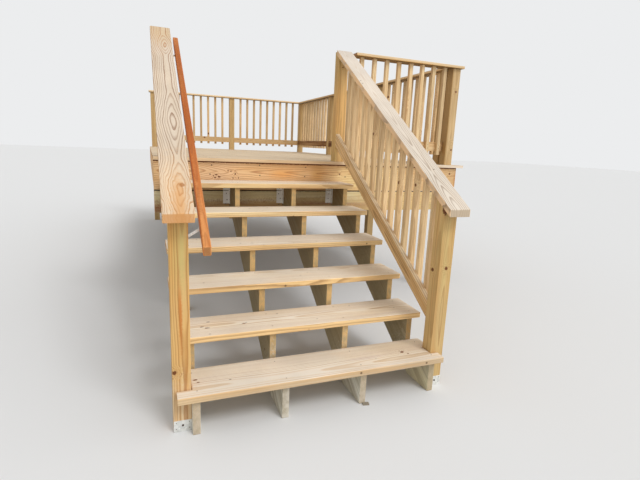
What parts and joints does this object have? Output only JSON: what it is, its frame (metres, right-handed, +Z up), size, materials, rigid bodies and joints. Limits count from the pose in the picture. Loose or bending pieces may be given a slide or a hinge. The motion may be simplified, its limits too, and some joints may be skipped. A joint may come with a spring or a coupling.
{
  "type": "timber deck stairs with their deck and guard rails",
  "caption": "Open-riser timber stair with sloped plank caps, balusters and a stained handrail, climbing to a raised deck with guard rails.",
  "frame": {"origin": "bottom centre of the whole structure's box, on the ground", "axes": "+Z up, +Y up the flight and into the deck, +X to the right of someone climbing"},
  "size_m": [2.954, 6.6206, 2.2703],
  "materials": {
    "posts": "raw golden pine posts with orange-brown grain and knots",
    "support_timber": "raw pressure-treated framing, darker in the shade",
    "stringers": "grey-green pressure-treated planks",
    "treads": "pale weathered planks with dark flecks",
    "stair_caps": "bleached cream planks with brown cathedral grain",
    "stained_rail": "orange-brown stain",
    "balusters": "raw pine sticks and rails",
    "guard_caps": "raw pine planks",
    "rim_boards": "raw orange-yellow pine with knots",
    "deck_boards": "pale weathered boards",
    "galvanised": "dull zinc coating"
  },
  "bodies": {
    "root": {"bottom_post_left": "posts", "bottom_post_right": "posts", "top_post_left": "posts", "top_post_right": "posts", "front_corner_post": "posts", "side_front_post": "posts", "side_post_1": "posts", "side_post_2": "posts", "rear_corner_post": "posts", "rear_middle_post": "posts", "rear_left_post": "posts", "support_posts": "support_timber", "joists": "support_timber", "beams": "support_timber", "stringer_1": "stringers", "stringer_2": "stringers", "stringer_3": "stringers", "stringer_4": "stringers", "tread_1": "treads", "tread_2": "treads", "tread_3": "treads", "tread_4": "treads", "tread_5": "treads", "tread_6": "treads", "stair_cap_left": "stair_caps", "stair_cap_right": "stair_caps", "handrail": "stained_rail", "stair_bottom_rail": "balusters", "stair_balusters": "balusters", "front_guard_panel": "balusters", "side_guard_panels": "balusters", "rear_guard_panels": "balusters", "front_guard_cap": "guard_caps", "side_guard_cap": "guard_caps", "rear_guard_cap": "guard_caps", "front_rim": "rim_boards", "front_lower_board": "rim_boards", "side_rim": "rim_boards", "rear_rim": "rim_boards", "house_side_rim": "rim_boards", "decking": "deck_boards", "post_bases": "galvanised", "stringer_hangers": "galvanised", "handrail_brackets": "galvanised"}
  },
  "joints": []
}
